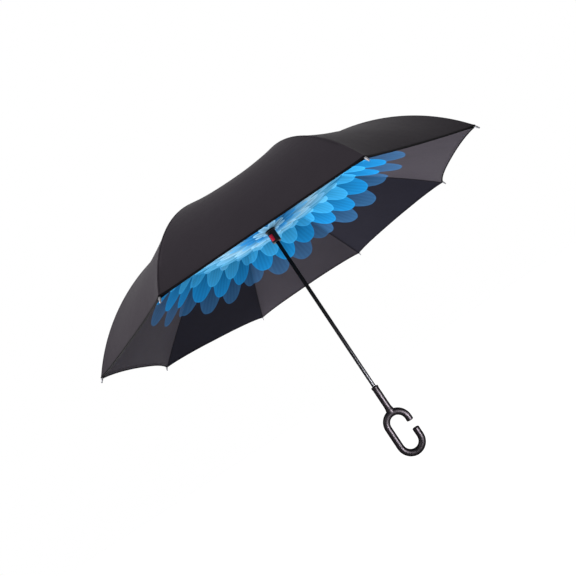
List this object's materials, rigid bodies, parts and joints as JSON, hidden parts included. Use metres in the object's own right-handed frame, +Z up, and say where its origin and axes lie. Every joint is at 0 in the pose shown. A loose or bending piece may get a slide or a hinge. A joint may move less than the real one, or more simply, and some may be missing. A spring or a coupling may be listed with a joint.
{
  "type": "inverted umbrella",
  "caption": "Inverted stick umbrella with a C-shaped handle, a sliding runner with a push button, hinged ribs, a scalloped canopy and a lining; it closes inside out.",
  "frame": {"origin": "centre of the C-shaped handle's loop, on the shaft's axis", "axes": "+Z up the shaft towards the crown, +X towards the open side of the C, the loop lies in the XZ plane"},
  "size_m": [0.9896, 0.9896, 0.8315],
  "materials": {
    "handle": "satin",
    "shaft": "satin",
    "moulded_black": "satin",
    "bright_steel": "satin",
    "rib_steel": "satin",
    "fibreglass": "satin",
    "rib_tip": "satin",
    "red_button": "gloss",
    "canopy_cloth": "matte",
    "lining_cloth": "matte"
  },
  "bodies": {
    "root": {"c_handle": "handle", "shaft_tube": "shaft", "stop_collar": "moulded_black", "crown_hub": "moulded_black", "crown_wire": "bright_steel", "crown_washer": "moulded_black", "crown_cap": "moulded_black", "outer_canopy": "canopy_cloth"},
    "runner": {"runner_sleeve": "moulded_black", "runner_hub": "moulded_black", "runner_wire": "bright_steel", "lining_washer": "moulded_black", "lining": "lining_cloth", "button_spring": "bright_steel"},
    "button": {"release_button": "red_button"},
    "arm_1": {"rib_arm_1": "rib_steel"},
    "rib_1": {"rib_knuckle_1": "moulded_black", "rib_rod_1": "fibreglass", "rib_tip_1": "rib_tip"},
    "stretcher_1": {"stretcher_1": "rib_steel"},
    "arm_2": {"rib_arm_2": "rib_steel"},
    "rib_2": {"rib_knuckle_2": "moulded_black", "rib_rod_2": "fibreglass", "rib_tip_2": "rib_tip"},
    "stretcher_2": {"stretcher_2": "rib_steel"},
    "arm_3": {"rib_arm_3": "rib_steel"},
    "rib_3": {"rib_knuckle_3": "moulded_black", "rib_rod_3": "fibreglass", "rib_tip_3": "rib_tip"},
    "stretcher_3": {"stretcher_3": "rib_steel"},
    "arm_4": {"rib_arm_4": "rib_steel"},
    "rib_4": {"rib_knuckle_4": "moulded_black", "rib_rod_4": "fibreglass", "rib_tip_4": "rib_tip"},
    "stretcher_4": {"stretcher_4": "rib_steel"},
    "arm_5": {"rib_arm_5": "rib_steel"},
    "rib_5": {"rib_knuckle_5": "moulded_black", "rib_rod_5": "fibreglass", "rib_tip_5": "rib_tip"},
    "stretcher_5": {"stretcher_5": "rib_steel"},
    "arm_6": {"rib_arm_6": "rib_steel"},
    "rib_6": {"rib_knuckle_6": "moulded_black", "rib_rod_6": "fibreglass", "rib_tip_6": "rib_tip"},
    "stretcher_6": {"stretcher_6": "rib_steel"},
    "arm_7": {"rib_arm_7": "rib_steel"},
    "rib_7": {"rib_knuckle_7": "moulded_black", "rib_rod_7": "fibreglass", "rib_tip_7": "rib_tip"},
    "stretcher_7": {"stretcher_7": "rib_steel"},
    "arm_8": {"rib_arm_8": "rib_steel"},
    "rib_8": {"rib_knuckle_8": "moulded_black", "rib_rod_8": "fibreglass", "rib_tip_8": "rib_tip"},
    "stretcher_8": {"stretcher_8": "rib_steel"}
  },
  "joints": [
    {"name": "runner_slide", "type": "slide", "parent": "root", "child": "runner", "axis": [0, 0, 1], "range_m": [-0.3652, 0], "deforming": ["outer_canopy", "lining"]},
    {"name": "button_press", "type": "slide", "parent": "runner", "child": "button", "axis": [0.454, 0.891, 0], "range_m": [0, 0.0015], "stiffness_N_per_m": 600, "springref_m": -0.001, "deforming": ["button_spring"]},
    {"name": "arm_hinge_1", "type": "hinge", "parent": "runner", "child": "arm_1", "pos_m": [0.01432, 0.00593, 0.615], "axis": [0.3827, -0.9239, 0], "range_deg": [0, 68.14]},
    {"name": "elbow_hinge_1", "type": "hinge", "parent": "arm_1", "child": "rib_1", "pos_m": [0.23838, 0.09874, 0.68271], "axis": [0.3827, -0.9239, 0], "range_deg": [0, 50.15]},
    {"name": "crown_hinge_1", "type": "hinge", "parent": "root", "child": "stretcher_1", "pos_m": [0.01432, 0.00593, 0.75043], "axis": [0.3827, -0.9239, 0], "range_deg": [-68.14, 0]},
    {"name": "arm_hinge_2", "type": "hinge", "parent": "runner", "child": "arm_2", "pos_m": [0.00593, 0.01432, 0.615], "axis": [0.9239, -0.3827, 0], "range_deg": [0, 68.14]},
    {"name": "elbow_hinge_2", "type": "hinge", "parent": "arm_2", "child": "rib_2", "pos_m": [0.09874, 0.23838, 0.68271], "axis": [0.9239, -0.3827, 0], "range_deg": [0, 50.15]},
    {"name": "crown_hinge_2", "type": "hinge", "parent": "root", "child": "stretcher_2", "pos_m": [0.00593, 0.01432, 0.75043], "axis": [0.9239, -0.3827, 0], "range_deg": [-68.14, 0]},
    {"name": "arm_hinge_3", "type": "hinge", "parent": "runner", "child": "arm_3", "pos_m": [-0.00593, 0.01432, 0.615], "axis": [0.9239, 0.3827, 0], "range_deg": [0, 68.14]},
    {"name": "elbow_hinge_3", "type": "hinge", "parent": "arm_3", "child": "rib_3", "pos_m": [-0.09874, 0.23838, 0.68271], "axis": [0.9239, 0.3827, 0], "range_deg": [0, 50.15]},
    {"name": "crown_hinge_3", "type": "hinge", "parent": "root", "child": "stretcher_3", "pos_m": [-0.00593, 0.01432, 0.75043], "axis": [0.9239, 0.3827, 0], "range_deg": [-68.14, 0]},
    {"name": "arm_hinge_4", "type": "hinge", "parent": "runner", "child": "arm_4", "pos_m": [-0.01432, 0.00593, 0.615], "axis": [0.3827, 0.9239, 0], "range_deg": [0, 68.14]},
    {"name": "elbow_hinge_4", "type": "hinge", "parent": "arm_4", "child": "rib_4", "pos_m": [-0.23838, 0.09874, 0.68271], "axis": [0.3827, 0.9239, 0], "range_deg": [0, 50.15]},
    {"name": "crown_hinge_4", "type": "hinge", "parent": "root", "child": "stretcher_4", "pos_m": [-0.01432, 0.00593, 0.75043], "axis": [0.3827, 0.9239, 0], "range_deg": [-68.14, 0]},
    {"name": "arm_hinge_5", "type": "hinge", "parent": "runner", "child": "arm_5", "pos_m": [-0.01432, -0.00593, 0.615], "axis": [-0.3827, 0.9239, 0], "range_deg": [0, 68.14]},
    {"name": "elbow_hinge_5", "type": "hinge", "parent": "arm_5", "child": "rib_5", "pos_m": [-0.23838, -0.09874, 0.68271], "axis": [-0.3827, 0.9239, 0], "range_deg": [0, 50.15]},
    {"name": "crown_hinge_5", "type": "hinge", "parent": "root", "child": "stretcher_5", "pos_m": [-0.01432, -0.00593, 0.75043], "axis": [-0.3827, 0.9239, 0], "range_deg": [-68.14, 0]},
    {"name": "arm_hinge_6", "type": "hinge", "parent": "runner", "child": "arm_6", "pos_m": [-0.00593, -0.01432, 0.615], "axis": [-0.9239, 0.3827, 0], "range_deg": [0, 68.14]},
    {"name": "elbow_hinge_6", "type": "hinge", "parent": "arm_6", "child": "rib_6", "pos_m": [-0.09874, -0.23838, 0.68271], "axis": [-0.9239, 0.3827, 0], "range_deg": [0, 50.15]},
    {"name": "crown_hinge_6", "type": "hinge", "parent": "root", "child": "stretcher_6", "pos_m": [-0.00593, -0.01432, 0.75043], "axis": [-0.9239, 0.3827, 0], "range_deg": [-68.14, 0]},
    {"name": "arm_hinge_7", "type": "hinge", "parent": "runner", "child": "arm_7", "pos_m": [0.00593, -0.01432, 0.615], "axis": [-0.9239, -0.3827, 0], "range_deg": [0, 68.14]},
    {"name": "elbow_hinge_7", "type": "hinge", "parent": "arm_7", "child": "rib_7", "pos_m": [0.09874, -0.23838, 0.68271], "axis": [-0.9239, -0.3827, 0], "range_deg": [0, 50.15]},
    {"name": "crown_hinge_7", "type": "hinge", "parent": "root", "child": "stretcher_7", "pos_m": [0.00593, -0.01432, 0.75043], "axis": [-0.9239, -0.3827, 0], "range_deg": [-68.14, 0]},
    {"name": "arm_hinge_8", "type": "hinge", "parent": "runner", "child": "arm_8", "pos_m": [0.01432, -0.00593, 0.615], "axis": [-0.3827, -0.9239, 0], "range_deg": [0, 68.14]},
    {"name": "elbow_hinge_8", "type": "hinge", "parent": "arm_8", "child": "rib_8", "pos_m": [0.23838, -0.09874, 0.68271], "axis": [-0.3827, -0.9239, 0], "range_deg": [0, 50.15]},
    {"name": "crown_hinge_8", "type": "hinge", "parent": "root", "child": "stretcher_8", "pos_m": [0.01432, -0.00593, 0.75043], "axis": [-0.3827, -0.9239, 0], "range_deg": [-68.14, 0]}
  ],
  "couplings": [
    {"joint": "arm_hinge_1", "follows": "runner_slide", "rad_per_m": -3.256},
    {"joint": "elbow_hinge_1", "follows": "runner_slide", "rad_per_m": -2.396},
    {"joint": "crown_hinge_1", "follows": "runner_slide", "rad_per_m": 3.256},
    {"joint": "arm_hinge_2", "follows": "runner_slide", "rad_per_m": -3.256},
    {"joint": "elbow_hinge_2", "follows": "runner_slide", "rad_per_m": -2.396},
    {"joint": "crown_hinge_2", "follows": "runner_slide", "rad_per_m": 3.256},
    {"joint": "arm_hinge_3", "follows": "runner_slide", "rad_per_m": -3.256},
    {"joint": "elbow_hinge_3", "follows": "runner_slide", "rad_per_m": -2.396},
    {"joint": "crown_hinge_3", "follows": "runner_slide", "rad_per_m": 3.256},
    {"joint": "arm_hinge_4", "follows": "runner_slide", "rad_per_m": -3.256},
    {"joint": "elbow_hinge_4", "follows": "runner_slide", "rad_per_m": -2.396},
    {"joint": "crown_hinge_4", "follows": "runner_slide", "rad_per_m": 3.256},
    {"joint": "arm_hinge_5", "follows": "runner_slide", "rad_per_m": -3.256},
    {"joint": "elbow_hinge_5", "follows": "runner_slide", "rad_per_m": -2.396},
    {"joint": "crown_hinge_5", "follows": "runner_slide", "rad_per_m": 3.256},
    {"joint": "arm_hinge_6", "follows": "runner_slide", "rad_per_m": -3.256},
    {"joint": "elbow_hinge_6", "follows": "runner_slide", "rad_per_m": -2.396},
    {"joint": "crown_hinge_6", "follows": "runner_slide", "rad_per_m": 3.256},
    {"joint": "arm_hinge_7", "follows": "runner_slide", "rad_per_m": -3.256},
    {"joint": "elbow_hinge_7", "follows": "runner_slide", "rad_per_m": -2.396},
    {"joint": "crown_hinge_7", "follows": "runner_slide", "rad_per_m": 3.256},
    {"joint": "arm_hinge_8", "follows": "runner_slide", "rad_per_m": -3.256},
    {"joint": "elbow_hinge_8", "follows": "runner_slide", "rad_per_m": -2.396},
    {"joint": "crown_hinge_8", "follows": "runner_slide", "rad_per_m": 3.256}
  ]
}
